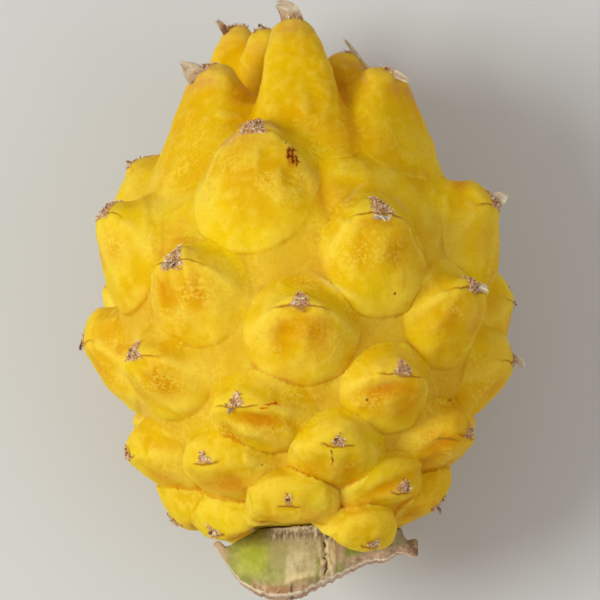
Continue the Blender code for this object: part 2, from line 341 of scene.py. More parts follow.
# Lengths are in mm and angles in degrees, along the axis from the stem end, as in the CAD.
fruitForm = {
    "divergence": -137.5, "first": -3, "last": 46, "front": 20, "frontAzimuth": 0.5,
    # a tubercle's number on the spiral, and the height of its tip
    "climb": [(-3, 95), (-1, 93), (2, 84), (4, 78), (7, 68.5), (10, 58.5), (15, 46), (20, 36), (25, 26.5),
              (31, 16.7), (36, 10), (41, 4.4), (46, -0.5)],
    # those off the spiral: azimuth, height, and how much further out the tip stands
    "astray": {
        -3: (-118, 95.4, -4.6), -2: (145, 90, -4), -1: (-5, 93.5, 0), 0: (-130, 97.4, 4),
        1: (57, 88.7, -5.6), 2: (-54.5, 84.5, 0.6), 4: (52, 83.8, 0), 5: (-97, 70.2, 0),
        7: (-15.5, 70.3, 0), 9: (69, 59.9, 0), 10: (-67, 58, 0), 11: (160, 55.5, 0.5), 12: (21.5, 54.3, 0),
        14: (100, 45.5, 0), 15: (-34, 46.6, 0), 16: (-167, 44, -0.7), 17: (51.5, 43, 0), 18: (-93, 37, 0),
        20: (0, 37.5, 0), 22: (88, 33, 0),
        23: (-51, 30.7, 0), 24: (169, 28.5, 0.9), 25: (29, 26.4, 0), 26: (-128, 26, 0), 27: (122, 25, 0),
        28: (-19, 20.7, 0), 30: (65, 18, 0), 31: (-79, 15.3, 0), 33: (12.5, 14, 0), 34: (-128, 13, 0),
        35: (120, 12, 0), 36: (-35.5, 11.9, 0), 38: (45, 7.6, 0), 39: (-88, 4, 0), 41: (-5, 4.2, 0.8),
        43: (77, 6, 1), 44: (-55, 0.4, 0), 46: (39, -2, 4)},
    # by the height of the tip: its reach, its lean, the root's lowest and highest point and half its width,
    # half the tip's width and height, how far it domes, and how much it arches down to its sides
    "stations": [
        (-3, 15, -50, -4, 7, 9.0, 6.6, 4.2, 2.6, 0.01),
        (2, 20.4, -44, -1, 9.5, 9.6, 7.0, 4.2, 2.6, 0.01),
        (8, 26, -30, 3, 14.5, 10.0, 6.8, 3.8, 2.4, 0.01),
        (14, 30.8, -8, 7, 21, 10.4, 6.2, 3.0, 2.2, 0.02),
        (20, 34.4, 4, 12.5, 27, 10.6, 5.8, 2.2, 1.9, 0.03),
        (26, 36.8, 10, 16.5, 32.5, 10.8, 5.4, 1.8, 1.8, 0.035),
        (31, 38.2, 16, 20, 37.5, 11.0, 5.2, 1.7, 1.8, 0.04),
        (37, 39.2, 24, 23.5, 43, 11.4, 5.2, 1.6, 1.8, 0.04),
        (46, 39.2, 38, 30.5, 51, 11.4, 5.2, 1.6, 1.8, 0.045),
        (54, 38.6, 46, 35.5, 58.5, 11.4, 5.2, 1.7, 1.8, 0.05),
        (61, 36.9, 52, 41.5, 65, 11.8, 5.2, 1.8, 2.0, 0.05),
        (70, 30.9, 60, 46.5, 73.5, 12.4, 5.0, 2.0, 2.2, 0.05),
        (78, 25.4, 68, 50, 79, 12.6, 4.8, 2.8, 2.4, 0.04),
        (84, 20.6, 76, 51, 80, 12.8, 4.9, 3.4, 2.6, 0.03),
        (90, 15.4, 84, 54, 80, 12.0, 5.0, 3.8, 3.0, 0.02),
        (98, 11, 92, 55, 80, 11.4, 5.1, 4.0, 3.4, 0.02)],
    # the body under the tubercles, from the seat on the stem to the navel in the crown: height and radius
    "body": [(2.7, 0.6), (2.7, 5), (2.8, 9), (4.6, 13.6), (9, 19), (15, 23.8), (24, 28.4), (36, 32),
             (49, 32.4), (60, 29.4), (69, 23.8), (76, 17.4), (80, 12.4), (81, 9.2), (80, 6), (78.5, 3.5),
             (78, 0.6)],
    # sizes that single tubercles have for themselves, and how far their roots lie round from their tips
    "own": {
        -3: {"wide": 3.6, "tall": 3.0, "half": 9.0, "twist": -34.0},
        -1: {"twist": 7.0, "low": 50.0, "swell": 1.6, "raised": 0.8, "wide": 4.4, "half": 11.4},
        0: {"wide": 3.0, "tall": 3.0, "half": 10.0}, 1: {"wide": 5.4, "tall": 3.0, "half": 10.5},
        2: {"twist": -2.0, "half": 14.5, "low": 53.0, "swell": 1.32, "raised": 1.3, "wide": 5.8, "dome": 2.2,
            "lean": 64.0},
        4: {"half": 15.0, "low": 51.0, "swell": 1.3, "raised": 1.0, "wide": 5.6, "dome": 2.2,
            "lean": 60.0},
        5: {"hump": 1.6, "tall": 2.4}, 7: {"twist": -0.5, "half": 13.2, "hump": 1.7},
        9: {"hump": 1.5, "tall": 2.4, "lean": 34.0, "swell": 1.25},
        10: {"hump": 0.9, "tall": 2.4, "swell": 1.3},
        12: {"twist": 3.0, "hump": 1.5}, 14: {"hump": 1.6, "tall": 2.4, "lean": 20.0}, 15: {"hump": 1.0},
        18: {"hump": 1.6, "tall": 2.6, "lean": 8.0, "swell": 1.25},
        20: {"twist": 0.5}, 22: {"hump": 1.2, "tall": 2.4, "lean": 12.0, "swell": 1.3},
        25: {"twist": 4.0, "half": 10.2}, 28: {"twist": 5.0}, 30: {"hump": 0.9},
        31: {"hump": 1.0, "tall": 2.4}, 33: {"twist": 5.0, "half": 9.6}, 38: {"twist": -2.0},
        39: {"hump": 0.8}, 41: {"wide": 7.4, "tall": 6.2, "twist": 2.0, "hump": -0.35}, 43: {"hump": 0.6},
        46: {"twist": 2.0}},
    # heights over which the crown's columns begin, the lowest tubercles grow stout, and the rims fade out
    "crown": (74, 86), "stout": (14, 2), "rimmed": (79, 71),
    # what the two trees are given, and how the skin is fused and thinned
    "grow": {"Rings": 20, "Turns": 56, "Sunk": 5.0, "Rim": 1.1, "Slant": 0.38, "Lowest Root": 3.5},
    "work": {"Crease": 0.1, "Hollow": 0.55, "Uneven": 0.8, "Melt": 36},
    "voxel": 0.42, "soften": 5, "keep": 0.46,
}


# The tubercles' tips as loose points, which carry the sizes that the tree reads.
def tipPoints():
    numbers = range(fruitForm["first"], fruitForm["last"] + 1)
    rows = []
    for number in numbers:
        azimuth = fruitForm["frontAzimuth"] + (number - fruitForm["front"]) * fruitForm["divergence"]
        height, further = blendStations(fruitForm["climb"], number)[0], 0
        azimuth, height, further = fruitForm["astray"].get(number, (azimuth, height, further))
        names = ("reach", "lean", "low", "high", "half", "wide", "tall", "dome", "arch")
        row = dict(zip(names, blendStations(fruitForm["stations"], height)))
        crown = ramp(*fruitForm["crown"], height)
        row.update({
            "around": math.radians(azimuth), "height": height, "reach": row["reach"] + further,
            "number": number, "twist": 0, "column": crown, "hump": 0.35, "raised": 0,
            "swell": 1.6 + 0.9 * ramp(*fruitForm["stout"], height) - 0.1 * crown,
            "rimmed": ramp(*fruitForm["rimmed"], height)})
        row.update(fruitForm["own"].get(number, {}))
        row["twist"], row["lean"] = math.radians(row["twist"]), math.radians(row["lean"])
        rows.append(row)
    mesh = bpy.data.meshes.new("tips")
    mesh.from_pydata([(n, 0, 0) for n in numbers], [], [])
    for name in rows[0]:
        storeColumn(mesh, name, [row[name] for row in rows])
    return mesh, rows


# A curve node over a list of (place, value) pairs, read at a height or along a line.
def curveThrough(bench, pairs, at):
    low, high = pairs[0][0], pairs[-1][0]
    top = max(value for _, value in pairs)
    points = [((place - low) / (high - low), value / top) for place, value in pairs]
    return bench.add("ShaderNodeFloatCurve", {"points": points}, {"Value": (at - low) / (high - low)}) * top


def axial(bench, around, radius, height):
    return bench.vector(radius * bench.maths("SINE", around), height, radius * bench.maths("COSINE", around))


# Lofts a tubercle at each tip, from an oval root on the body to a small domed end, and turns the body.
def growTree():
    bench, given = newTree("grow", {"Rings": "Int", "Turns": "Int", "Sunk": "Float", "Rim": "Float",
                                    "Slant": "Float", "Lowest Root": "Float", "Material": "Material"})
    last = given["Rings"] - 1
    tube = bench.add("GeometryNodeMeshCylinder", {"fill_type": "NGON"},
                     {"Vertices": given["Turns"], "Side Segments": last, "Radius": 1.0, "Depth": last})
    x, y, z = bench.position().parts()
    tube = bench.store(tube, "ring", bench.maths("ROUND", z + last / 2))
    tube = bench.store(tube, "turn", bench.maths("ARCTAN2", y, x))
    tubes = bench.add("GeometryNodeInstanceOnPoints", {}, {"Points": given["Geometry"], "Instance": tube})
    tubes = bench.realize(tubes)

    ring, turn, around, height, reach, lean = map(bench.field, (
        "ring", "turn", "around", "height", "reach", "lean"))
    low, high, half, wide, tall, dome, arch = map(bench.field, (
        "low", "high", "half", "wide", "tall", "dome", "arch"))
    swell, rimmed, column, twist, hump, raised = map(bench.field, (
        "swell", "rimmed", "column", "twist", "hump", "raised"))
    cosTurn, sinTurn = bench.maths("COSINE", turn), bench.maths("SINE", turn)
    cosLean, sinLean = bench.maths("COSINE", lean), bench.maths("SINE", lean)
    outward = axial(bench, around, 1.0, 0.0)
    side = axial(bench, around + math.pi / 2, 1.0, 0.0)
    alongAxis = bench.vector(0.0, 1.0, 0.0)
    heading = outward * cosLean + alongAxis * sinLean
    up = alongAxis * cosLean - outward * sinLean
    peak = axial(bench, around, reach, height)

    # the root on the body: buried at ring 0, just under the skin at ring 1, and a proud rim from there on
    first, second = ring.step(0.4, 0.6), ring.step(1.4, 1.6)
    inset = 0.9 + 0.1 * first - 0.03 * second
    proud = (sinTurn * -1.0).step(-0.1, 0.75) * (given["Rim"] + 0.6) * rimmed
    proud = proud + rimmed * 1.2 - 0.8 + raised
    lift = first * (given["Sunk"] - 1) - given["Sunk"] + second * proud
    rootSin = sinTurn - cosTurn * cosTurn * rimmed * given["Slant"]
    rootCos = bench.maths("SIGN", cosTurn) * bench.maths("SQRT", (1 - rootSin * rootSin).least(0))
    rootHeight = ((low + high) / 2 + (high - low) / 2 * inset * rootSin)
    rootHeight = rootHeight.least(given["Lowest Root"])
    flank = curveThrough(bench, fruitForm["body"][2:13], rootHeight)
    start = axial(bench, around + twist + half * inset * rootCos / flank.least(12),
                  flank + lift, rootHeight)

    # from the rim to the shoulder the sides rise early, and over it they round off
    shoulder = peak - heading * dome
    domed = given["Rings"] - 5
    s = ((ring - 2) / (domed - 2)).least(0).most(1)
    across = wide * cosTurn
    sag = arch * across * across
    tall = tall * sinTurn * (1 + hump * sinTurn.step(0.0, 0.5))
    tip = shoulder + side * across + up * (tall - sag) - heading * (sag * 0.5)
    rise = tip - start
    risen = heading * rise.dot(heading)
    swell = 1 + (swell - 1) * (0.1 + sinTurn.step(0.4, -0.25) * 0.9)
    swell = swell + sinTurn.step(-0.2, -0.9) * rimmed * 0.5
    narrowed = 1 - (1 - s) ** (1 + column * 0.25)
    point = start + (rise - risen) * narrowed + risen * (1 - (1 - s) ** swell)
    over = (ring - domed).least(0) * (math.pi / 2 / 4.3)
    rounded = shoulder + (tip - shoulder) * bench.maths("COSINE", over)
    rounded = rounded + heading * (dome * bench.maths("SINE", over))
    point = bench.mix(over.step(0, 0.01), point, rounded, "VECTOR")
    tubes = bench.move(tubes, point)

    # where a point lies on its tubercle, seen along the tubercle's own line: across, up and out from the tip
    here = bench.position() - peak
    local = bench.vector(here.dot(side), here.dot(up), here.dot(heading))
    tubes = bench.store(tubes, "local", local, "FLOAT_VECTOR")
    tubes = bench.store(tubes, "climb", (ring - 1.5) / (domed - 1.5))
    tubes = bench.store(tubes, "brow", (sinTurn - 0.1).bell(0.22) * rimmed)

    hull = bench.add("GeometryNodeMeshCylinder", {"fill_type": "NGON"},
                     {"Vertices": 120, "Side Segments": 90, "Radius": 1.0, "Depth": 1.0})
    x, y, z = bench.position().parts()
    places = [n / (len(fruitForm["body"]) - 1) for n in range(len(fruitForm["body"]))]
    hullHeight, hullRadius = (curveThrough(bench, list(zip(places, values)), z + 0.5)
                              for values in zip(*fruitForm["body"]))
    hull = bench.move(hull, bench.vector(x * hullRadius, hullHeight, y * hullRadius))
    hull = bench.store(hull, "local", (0.0, 0.0, -99.0), "FLOAT_VECTOR")  # far below any tip
    hull = bench.store(hull, "climb", -1.0)
    hull = bench.store(hull, "brow", 0.0)
    whole = bench.add("GeometryNodeJoinGeometry", {}, {"Geometry": [tubes, hull]})
    closeTree(bench, bench.move(whole, (bench.position() + tuple(seat)) * mm), given["Material"])
    return bench


# Folds and swellings of single tubercles, by their place in the front view, in mm and degrees: across, up,
# half the length, half the width, turned by, and how far they stand out.
skinFolds = [
    (-6.6, -23.4, 5.0, 1.1, -18, 1.0), (-6.4, -20.8, 4.6, 1.2, -10, -0.8), (-2.0, -23.0, 1.4, 2.4, 10, 0.5),
    (-3.0, -5.4, 1.8, 2.6, 10, -0.35), (5.4, -5.2, 1.8, 2.6, -15, -0.35), (0.9, -6.2, 0.9, 3.6, 0, 0.3),
    (6.0, 2.4, 5.0, 0.9, -28, 0.7), (-19.6, 5.0, 0.8, 5.0, 12, 0.5), (14.6, -15.4, 4.4, 1.0, 14, -0.5),
    (15.4, -32.6, 4.6, 1.0, 26, -0.7), (13.6, -34.6, 4.6, 0.9, 16, 0.5), (-13.0, -32.4, 3.4, 1.6, -6, -0.5),
    (7.4, -22.4, 4.6, 0.9, 24, 0.5), (-22.6, -23.8, 4.2, 1.2, -20, 0.6), (25.0, -25.2, 3.8, 1.0, 22, -0.6),
    (7.0, 18.4, 1.7, 6.4, 8, 0.3), (4.2, 17.6, 1.0, 5.4, 10, -0.3), (-26.6, 10.6, 1.3, 6.6, 8, 0.4),
    (24.4, 12.4, 1.0, 6.6, -14, 0.6), (20.4, 13.4, 1.0, 6.0, -10, -0.4), (2.4, -36.8, 3.0, 1.0, -8, -0.3),
    (8.6, 23.2, 4.4, 3.6, 0, 0.6), (11.6, 20.8, 4.8, 3.4, 0, 0.6), (9.4, 22.4, 5.6, 4.0, 0, 0.5),
    (21.4, 3.4, 4.2, 1.1, 40, 0.5), (-14.6, -7.4, 1.1, 4.0, 20, 0.5), (10.6, -22.2, 1.0, 3.4, 24, -0.4),
]
# the view's upward direction along the fruit and out of it, and the height of its middle in mm
frontView = {"along": 0.985, "out": 0.174, "middle": 5.46}


# A point's place in the front view, in mm across and up from its middle.
def seenPlace(px, py, pz):
    return px / mm, py * (frontView["along"] / mm) + pz * (frontView["out"] / mm) - frontView["middle"]


# 1 at the middle of a turned oval, fading over its half sizes.
def oval(dx, dy, long, wide, turned):
    cos, sin = math.cos(math.radians(turned)), math.sin(math.radians(turned))
    return (dx * cos + dy * sin).bell(long) * (dy * cos - dx * sin).bell(wide)


# How much of a fold lies at a point: 1 along its middle, and nothing on the fruit's lower side.
def stroke(place, row):
    across, above, *form = row[:5]
    right, up = seenPlace(*place)
    return oval(right - across, up - above, *form) * place[2].step(0.034, 0.04)


# Works the brow, the crease under the wool, the hollows, the lower rim and uneven growth into the fused skin.
def workTree():
    bench, given = newTree("work", {"Lofts": "Object", "Crease": "Float", "Hollow": "Float",
                                    "Uneven": "Float", "Melt": "Int", "Material": "Material"})
    lofts = bench.meshOf(given["Lofts"])

    # what the nearest point of the lofts has
    def nearest(name, kind="FLOAT"):
        return bench.add("GeometryNodeSampleNearestSurface", {"data_type": kind},
                         {"Mesh": lofts, "Value": bench.field(name, kind)})

    skin = bench.store(given["Geometry"], "local", nearest("local", "FLOAT_VECTOR"), "FLOAT_VECTOR")
    skin = bench.store(skin, "climb", nearest("climb"))
    skin = bench.store(skin, "number", nearest("number"))
    climb, number, rimmed = bench.field("climb"), bench.field("number"), nearest("rimmed")
    skin = bench.store(skin, "brow", nearest("brow") * climb.step(0.0, 0.25) * climb.step(1.0, 0.85))
    x, y, z = bench.field("local", "FLOAT_VECTOR").parts()
    # the sides and the upper root of a tubercle run softly into the body, and its lower rim stays crisp
    place = bench.position()
    rim = climb.step(-0.6, 0.0) * climb.step(0.6, 0.25) * y.step(-2.0, -6.0) * rimmed
    crisp = rim.least(climb.step(0.75, 1.0) * 0.35).least(bench.field("brow") * 0.6)
    skin = bench.move(skin, bench.mix(crisp, bench.blur(place, given["Melt"]), place, "VECTOR"))
    wander = bench.noise(place, 260.0, 2.0) - 0.5
    slant = bench.noise(bench.vector(number, 0.0, 0.0), 3.7, 0.0) - 0.5
    face = z.step(-7.0, -3.5)
    line = y + 1.2 - x * x * 0.03 + x * slant * 0.5 + wander * 1.6
    # low tubercles have short creases
    skin = bench.store(skin, "span", nearest("height").step(2.0, 36.0) * 0.85 + 0.15)
    span = bench.field("span")
    crease = line.bell(0.42) * (x * x).step(span * 34, span * 14) * face * rimmed
    pits = (x - 3.6).bell(2.6) + (x + 3.6).bell(2.6)
    pits = pits * (y + 5.4 + wander * 3).bell(2.7) * z.step(-11.0, -6.0)
    lip = (climb - 0.1).bell(0.07) * y.step(-3.0, -7.0) * rimmed
    uneven = (bench.noise(place, 110.0, 1.0) - 0.5) * 1.5 + (bench.noise(place, 240.0, 1.0) - 0.5) * 0.9
    uneven = uneven + (bench.noise(place, 520.0, 2.0) - 0.5) * 0.3
    folds = bench.noise(bench.vector(x * 0.42 + wander * 2, y * 0.13, number * 3.7), 1.0, 1.0) - 0.5
    uneven = uneven + folds * climb.step(0.0, 0.2) * z.step(-30.0, -20.0) * 0.5
    uneven = uneven + (bench.noise(place, 150.0, 1.0) - 0.5) * climb.step(0.25, 0.0) * 1.6
    uneven = uneven * given["Uneven"]
    where = place.parts()
    for row in skinFolds:
        uneven = uneven + stroke(where, row) * row[-1]
    out = (bench.field("brow") * 0.3 - crease * given["Crease"] - pits * rimmed * given["Hollow"] + lip * 0.25
           + uneven)
    normal = bench.add("GeometryNodeInputNormal")
    px, py, pz = (place + normal * (out * mm)).parts()
    skin = bench.move(skin, bench.vector(px, py, pz.least(0)))  # never through the floor
    # how far a point lies below what surrounds it, in mm, over a small and a wide reach
    for name, reach in (("nook", 8), ("valley", 60)):
        skin = bench.store(skin, name, (bench.blur(place, reach) - place).dot(normal) / mm)
    skin = bench.add("GeometryNodeSetShadeSmooth", {}, {"Geometry": skin})
    closeTree(bench, skin, given["Material"])
    return bench


skinLook = {
    "amber": tint(214, 150, 2), "lemon": tint(228, 204, 14), "light": tint(230, 196, 4),
    "deep": tint(218, 168, 2), "pale": tint(235, 206, 76), "orange": tint(204, 124, 2),
    "valley": tint(204, 110, 2), "rose": tint(206, 150, 92), "tan": tint(214, 172, 56),
    "green": tint(200, 180, 16), "crease": tint(150, 82, 26), "wool": tint(186, 138, 92),
    # folds deeper than the first get orange painted shade, and those that stand out more than the second a
    # pale painted highlight
    "shadedFrom": -0.45, "paleFrom": 0.6,
    "shader": {"IOR": 1.28, "Specular IOR Level": 0.07, "Specular Tint": (1, 0.8, 0.1, 1),
               "Subsurface Weight": 0.4, "Subsurface Radius": (1.0, 0.42, 0.06), "Subsurface Scale": 0.005},
}


# Marks by their place in the front view: across, up, half width, half height and, for some, degrees turned.
skinMarks = [
    # amber tints in hollows, then deeper ones between the crown's columns: painted shade over some of the
    # skin's own deeper tone
    ([(1.0, -4.6, 5.0, 2.2), (-7.2, -20.6, 4.4, 1.3), (-12.4, -31.9, 2.4, 1.9), (16.7, -15.6, 3.6, 1.2),
      (-20.0, 10.4, 3.2, 0.9), (13.4, 13.4, 3.4, 1.4), (-31.4, -9.0, 2.2, 1.2), (9.4, -36.4, 3.0, 1.4),
      (23.6, -23.8, 3.0, 1.0)], tint(206, 132, 4), 0.5),
    ([(28.4, 21.2, 1.4, 2.6), (-10.8, 36.6, 2.2, 2.6), (7.6, 36.0, 0.9, 5.0), (9.0, 30.4, 0.9, 3.6, 8)],
     tint(200, 112, 6), 0.45),
    # the scar on the upper tubercle, with its orange rim, and an orange crack
    ([(-1.3, 24.8, 1.1, 1.9)], tint(190, 104, 4), 0.6),
    ([(-2.0, 25.6, 0.3, 1.3), (-1.3, 25.2, 0.34, 1.7), (-0.6, 24.2, 0.3, 1.0), (-1.6, 26.2, 1.0, 0.28),
      (-1.2, 25.1, 1.1, 0.28), (-0.8, 24.1, 0.9, 0.26)], tint(118, 34, 8), 0.9),
    ([(-5.2, -18.0, 1.4, 0.2), (-4.3, -17.8, 0.24, 0.5), (-6.3, -18.6, 0.7, 0.2)], tint(196, 76, 6), 0.9),
    # rosy skin beside the wool, then pale ridges
    ([(-12.0, 28.4, 2.7, 0.7, 37), (-5.4, 30.9, 1.8, 0.6, -22), (-8.8, 30.6, 2.2, 0.9),
      (20.6, 36.6, 2.2, 0.9, -30)], tint(204, 150, 104), 0.5),
    ([(17.4, 17.0, 2.4, 0.4, -50), (5.4, 2.6, 3.2, 0.45, -30), (9.4, 18.6, 2.6, 0.4, 44)],
     tint(224, 186, 104), 0.55),
    # a dark crack, a brown line, browned edges and corky specks
    ([(5.6, -27.7, 0.24, 0.9), (5.3, -26.3, 0.2, 0.4)], tint(70, 40, 16), 0.9),
    ([(26.0, -24.4, 2.2, 0.3, -8)], tint(122, 88, 26), 0.6),
    ([(-10.8, -41.8, 3.0, 0.9, 10), (-30.6, -27.4, 0.5, 1.6), (-33.0, 30.4, 0.7, 2.4)],
     tint(178, 112, 34), 0.65),
    ([(11.7, -17.3, 0.3, 0.3), (26.5, -17.7, 0.32, 0.32), (-2.5, 27.6, 0.22, 0.2), (-6.7, -28.6, 0.26, 0.24),
      (16.6, 1.2, 0.24, 0.24), (-21.4, 8.4, 0.24, 0.24)], tint(80, 50, 18), 0.9),
]


def fruitSkinMaterial():
    material, bench = newMaterial("fruitSkin")
    place = bench.objectPlace()
    climb, nook, valley, brow, span = (
        bench.read(name) for name in ("climb", "nook", "valley", "brow", "span"))
    x, y, z = bench.read("local", 1).parts()
    px, py, pz = where = place.parts()
    face = z.step(-7.0, -3.5)
    crown = py.step(0.012, 0.036)
    patches = bench.noise(place, 95.0, 2.0)
    fine = bench.noise(place, 900.0, 3.0, 0.6)
    grain = bench.noise(place, 1480.0, 1.0, 0.5, 0.5)
    tips = climb.step(0.8, 1.0) * crown * bench.noise(place, 210.0, 2.0).step(0.35, 0.6)
    pits = ((x - 3.6).bell(2.8) + (x + 3.6).bell(2.8)) * (y + 5.4).bell(2.9) * z.step(-11.0, -6.0)
    flecked = climb.step(0.1, 0.35) * (0.25 + climb.step(0.9, 0.6) * 0.75) + climb.step(-0.3, -0.9) * 0.5
    flecks = grain.step(0.5, 0.6) * bench.noise(place, 180.0, 1.0).step(0.42, 0.58) * flecked
    creaseLine = (y + 1.2 - x * x * 0.03 + (bench.noise(place, 300.0, 2.0) - 0.5) * 1.8).bell(0.22) * face
    creaseLine = creaseLine * (x * x).step(span * 36, span * 12) * (1 - crown)
    shrunk = span * 0.6 + 0.4
    wool = ((x / shrunk).bell(1.7 - y * 0.25) * ((y + 0.3) / shrunk).bell(1.5) * face).step(0.35, 0.75)
    layers = [
        # greener toward the stem, and ripening in patches
        (py.step(-0.01, -0.045) * 0.3, "green"),
        (patches.step(0.48, 0.66) * 0.6 * (1 - crown), "pale"),
        (patches.step(0.5, 0.34) * 0.4, "amber"),
        # painted highlight in lemon where the skin stands proud, painted shade in orange where it lies deep,
        # and deeper painted shade between the crown's columns, partly the crown's own deeper colour
        (valley.step(0.1, -1.3) * 0.6, "lemon"),
        (valley.step(0.15, 1.3) * 0.75 * (1 - crown), "orange"),
        (valley.step(0.1, 1.0) * crown * 0.95, "valley"),
        # an amber crown, the rest a little paler, and rosy tips on the crown
        (crown * 0.35, "amber"),
        ((1 - crown) * 0.06, "pale"),
        (tips * 0.45, "rose"),
        # painted highlight on small ridges, and painted shade in small hollows
        (nook.step(0.02, -0.12) * 0.45, "pale"),
        (nook.step(0.04, 0.24) * 0.3, "orange"),
        # tan gaps between the tubercles, amber painted shade on the lower right side, and amber painted shade
        # in the hollows beside the humps
        (climb.step(0.12, -0.2) * py.step(0.017, 0.002) * 0.5, "tan"),
        (px.step(0.006, 0.03) * py.step(0.0, -0.03) * 0.4, "amber"),
        (pits * py.step(0.02, 0.0) * 0.5, "orange"),
        # a pale ridge along the brow of each shield, tinged rosy beside the wool
        (brow * 0.5, "pale"),
        (brow * (x * x).step(45.0, 12.0) * bench.noise(place, 330.0, 2.0).step(0.4, 0.6) * 0.5, "rose"),
        # short pale flecks, thickest on the bellies
        (flecks * (1 - crown * 0.8) * 0.5, "pale"),
        (grain.step(0.45, 0.34) * 0.12, "orange"),
        # the crease, and the skin under the wool
        (creaseLine * 0.8, "crease"),
        (wool * 0.8, "wool"),
    ]
    # orange painted shade along the deeper folds, and a pale painted highlight along those that stand out
    # most
    for row in skinFolds:
        if row[-1] < skinLook["shadedFrom"]:
            layers.append((stroke(where, row) * 0.6, "orange"))
        elif row[-1] > skinLook["paleFrom"]:
            layers.append((stroke(where, row) * 0.35, "pale"))
    colour = bench.mix(bench.noise(place, 60.0, 2.0).step(0.3, 0.7), skinLook["light"], skinLook["deep"])
    for mask, shade in layers:
        colour = bench.mix(mask, colour, skinLook[shade])
    # the marks, with uneven edges, on the upper side
    across, up = seenPlace(*where)
    across = across + (bench.noise(place, 900.0, 2.0) - 0.5) * 0.9
    up = up + (bench.noise(place, 700.0, 2.0) - 0.5) * 1.2
    blot = bench.noise(place, 1700.0, 2.0).step(0.3, 0.6) * 0.6 + 0.4
    for places, shade, strength in skinMarks:
        for right, above, *form in ((*row, 0)[:5] for row in places):
            mark = oval(across - right, up - above, *form) * pz.step(0.034, 0.038)
            colour = bench.mix(mark.step(0.15, 0.75) * blot * strength, colour, shade)
    height = (fine * 0.4 + grain * flecked * 0.7 + bench.noise(place, 330.0, 2.0) * 1.2) * (1 - crown * 0.6)
    normal = bench.add("ShaderNodeBump", {}, {"Strength": 0.6, "Distance": 0.00022, "Height": height})
    closeMaterial(bench, {"Base Color": colour, "Roughness": 0.42 + fine * 0.1, "Normal": normal,
                          **skinLook["shader"]})
    return material


def makeFruitSkin():
    material = fruitSkinMaterial()
    points, tips = tipPoints()
    lofts = newObject("lofts", points)
    addTree(lofts, growTree(), {**fruitForm["grow"], "Material": material})
    bakeObject(lofts)
    skin = newObject("fruitSkin", lofts.data.copy())
    fuse = skin.modifiers.new("fuse", "REMESH")
    fuse.mode, fuse.voxel_size = "VOXEL", fruitForm["voxel"] * mm
    soften = skin.modifiers.new("soften", "SMOOTH")
    soften.iterations, soften.factor = fruitForm["soften"], 0.5
    addTree(skin, workTree(), {**fruitForm["work"], "Lofts": lofts, "Material": material})
    reduce = skin.modifiers.new("reduce", "DECIMATE")
    reduce.ratio = fruitForm["keep"]
    bakeObject(skin)
    bpy.data.objects.remove(lofts)
    print("  fruit skin:", len(skin.data.polygons), "faces")
    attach(skin, "root")
    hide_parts("fruit")
    return skin, tips


fruitSkin, tips = makeFruitSkin()


print("wool and dried flakes at the areoles")
# The patches are triangles that point up the fruit. Their radius and how far they sit under the tip, in mm:
areoles = {
    "radius": 2.3, "drop": -0.1,
    # by tubercle: radius of the patch, and its place across and up
    "own": {
        5: (2.8, 0, 0), 7: (3.6, -0.2, 0.2), 10: (3.2, 0, 0.3), 12: (2.9, 0, 1.0), 15: (3.1, -0.4, -0.5),
        17: (2.8, 0, 0), 20: (2.3, 0, 0.2), 22: (1.5, 0, 0.4), 23: (2.9, 0, 0.2), 25: (2.4, 0.1, 0.3),
        28: (2.2, 0, 0), 33: (1.9, 0, 0), 36: (1.9, 0, 0), 41: (1.2, 0, 0.6), 46: (1.8, 0.4, 0)},
    "hairs": {"Density": 16.5e6, "Length": 0.64 * mm, "Width": 0.135 * mm, "Thickness": 0.08 * mm,
              "Curl": 0.25, "Spread": 0.92, "Seed": 3},
    "flakes": {"Density": 3.6e6, "Length": 0.6 * mm, "Width": 0.42 * mm, "Thickness": 0.08 * mm,
               "Curl": 0.4, "Spread": 0.85, "Seed": 11},
}


def axesOf(tip):
    outward = Vector((math.sin(tip["around"]), 0, math.cos(tip["around"])))
    side = Vector((math.cos(tip["around"]), 0, -math.sin(tip["around"])))
    along = Vector((0, 1, 0))
    heading = outward * math.cos(tip["lean"]) + along * math.sin(tip["lean"])
    up = along * math.cos(tip["lean"]) - outward * math.sin(tip["lean"])
    return heading, up, side, outward * tip["reach"] + along * tip["height"] + seat


# One point on the skin at each areole, with the directions that its patch needs.
def areoleSeats(skin):
    tree = BVHTree.FromObject(skin, bpy.context.evaluated_depsgraph_get())
    places, facing, upward, sizes, rises = [], [], [], [], []
    for tip in tips:
        heading, up, side, peak = axesOf(tip)
        radius, across, above = areoles["own"].get(tip["number"], (areoles["radius"], 0, 0))
        start = peak + side * across + up * (above - areoles["drop"]) + heading * 5  # 5 mm over the tip
        place, normal, _, _ = tree.ray_cast(start * mm, -heading)
        if place is None or place.z < 2 * mm:  # pressed on the floor
            continue
        normal = (normal + heading).normalized()
        places.append(place)
        facing.append(normal)
        rising = up * 0.3 + Vector((0, 0.7, 0))
        upward.append((rising - normal * rising.dot(normal)).normalized())
        sizes.append(radius * mm)
        rises.append(0.85 + 0.65 * ramp(18, 50, tip["height"]))  # the upper ones are taller
    mesh = bpy.data.meshes.new("areoleSeats")
    mesh.from_pydata(places, [], [])
    for name, vectors in (("facing", facing), ("upward", upward)):
        data = mesh.attributes.new(name, "FLOAT_VECTOR", "POINT").data
        data.foreach_set("vector", [c for v in vectors for c in v])
    storeColumn(mesh, "size", sizes)
    storeColumn(mesh, "rise", rises)
    return mesh


